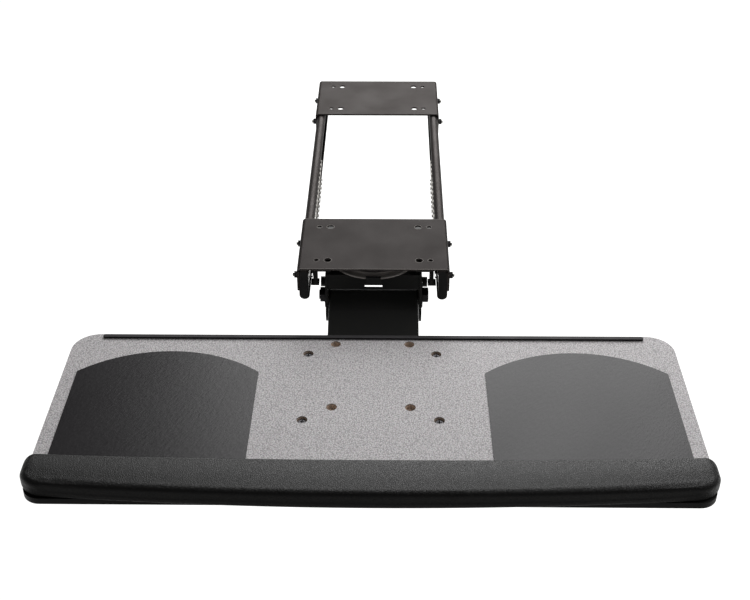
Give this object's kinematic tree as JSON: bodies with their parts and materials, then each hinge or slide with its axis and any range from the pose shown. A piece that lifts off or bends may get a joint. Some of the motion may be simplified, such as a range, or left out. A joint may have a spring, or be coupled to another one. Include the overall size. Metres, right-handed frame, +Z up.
{
  "type": "under-desk keyboard tray",
  "caption": "Keyboard tray on a swivelling, tilting lift arm that hangs from ball-bearing slides under a desk, with a padded palm rest and arched mouse pads.",
  "frame": {"origin": "centre of the front desk bracket's top face, in the plane of the desk's underside", "axes": "+X to the user's right, +Y to the rear along the slides, +Z up into the desk"},
  "size_m": [0.716, 0.9, 0.1345],
  "materials": {
    "bracket_black": "satin black powder coat",
    "bracket_grey": "satin black powder coat, catching the light",
    "rail_black": "black electrophoretic coat",
    "arm_black": "black powder coat",
    "zinc_steel": "bright zinc plate",
    "ball_steel": "polished bearing steel",
    "dark_fastener": "black oxide",
    "white_nylon": "natural nylon",
    "moulded_black": "moulded black plastic",
    "insert_brass": "turned brass",
    "friction_fibre": "pressed fibre",
    "fibreboard": "cut medium-density fibreboard",
    "speckled_laminate": "light grey speckled laminate",
    "edge_band": "black edge band",
    "strip_rubber": "black extruded strip",
    "pad_sheet": "charcoal sheet with a fine tooth",
    "palm_vinyl": "black grained vinyl over foam"
  },
  "bodies": {
    "track": {"front_desk_bracket": "bracket_black", "rear_desk_bracket": "bracket_grey", "left_outer_rail": "rail_black", "right_outer_rail": "rail_black", "rail_studs": "zinc_steel", "rail_washers": "zinc_steel", "rail_nuts": "dark_fastener", "front_rail_stops": "moulded_black", "rear_rail_stops": "moulded_black"},
    "ball_cages": {"left_ball_cage": "zinc_steel", "right_ball_cage": "zinc_steel", "left_bearing_balls": "ball_steel", "right_bearing_balls": "ball_steel"},
    "carriage": {"left_inner_rail": "zinc_steel", "right_inner_rail": "zinc_steel", "carriage_plate": "arm_black", "carriage_rivets": "zinc_steel"},
    "swivel": {"swivel_washer": "white_nylon", "swivel_disc": "bracket_black", "swivel_pin": "zinc_steel", "pivot_bracket": "arm_black", "pivot_bolt": "dark_fastener", "pivot_nut": "dark_fastener", "pivot_washers": "dark_fastener", "rear_link_pins": "zinc_steel"},
    "arm": {"arm_channel": "arm_black", "pivot_sleeve": "dark_fastener", "arm_thrust_washers": "white_nylon"},
    "level_links": {"left_level_link": "zinc_steel", "right_level_link": "zinc_steel"},
    "yoke": {"tilt_yoke": "arm_black", "front_link_pins": "zinc_steel", "tilt_bolt": "dark_fastener", "pin_spacers": "zinc_steel", "tilt_stop_pins": "zinc_steel"},
    "knob": {"tilt_knob": "moulded_black", "knob_insert": "insert_brass"},
    "tray": {"tray_bracket": "arm_black", "tilt_sleeve": "zinc_steel", "friction_washers": "friction_fibre", "tray_core": "fibreboard", "tray_laminate": "speckled_laminate", "tray_edge_band": "edge_band", "board_screws": "dark_fastener", "weld_nuts": "zinc_steel", "rear_stop_strip": "strip_rubber", "left_mouse_pad": "pad_sheet", "right_mouse_pad": "pad_sheet", "palm_rest_base": "moulded_black", "palm_rest": "palm_vinyl", "palm_rest_screws": "zinc_steel"}
  },
  "joints": [
    {"name": "carriage_slide", "type": "slide", "parent": "track", "child": "carriage", "axis": [0, 1, 0], "range_m": [0, 0.27]},
    {"name": "cage_slide", "type": "slide", "parent": "track", "child": "ball_cages", "axis": [0, 1, 0], "range_m": [0, 0.135]},
    {"name": "swivel_turn", "type": "hinge", "parent": "carriage", "child": "swivel", "pos_m": [0, 0.005, -0.015], "axis": [0, 0, 1], "range_deg": [-90, 90]},
    {"name": "arm_lift", "type": "hinge", "parent": "swivel", "child": "arm", "pos_m": [0, -0.019, -0.0645], "axis": [1, 0, 0], "range_deg": [-24, 26]},
    {"name": "link_follow", "type": "hinge", "parent": "swivel", "child": "level_links", "pos_m": [0, -0.0133, -0.081], "axis": [1, 0, 0], "range_deg": [-24, 26]},
    {"name": "yoke_level", "type": "hinge", "parent": "arm", "child": "yoke", "pos_m": [0, -0.12284, -0.10646], "axis": [1, 0, 0], "range_deg": [-26, 24]},
    {"name": "tray_tilt", "type": "hinge", "parent": "yoke", "child": "tray", "pos_m": [0, -0.12284, -0.10646], "axis": [1, 0, 0], "range_deg": [-15, 10]},
    {"name": "knob_turn", "type": "hinge", "parent": "yoke", "child": "knob", "pos_m": [0, -0.12284, -0.10646], "axis": [1, 0, 0], "range_deg": [0, 360]}
  ],
  "couplings": [
    {"joint": "cage_slide", "follows": "carriage_slide", "ratio": 0.5},
    {"joint": "link_follow", "follows": "arm_lift", "ratio": 1},
    {"joint": "yoke_level", "follows": "arm_lift", "ratio": -1}
  ]
}
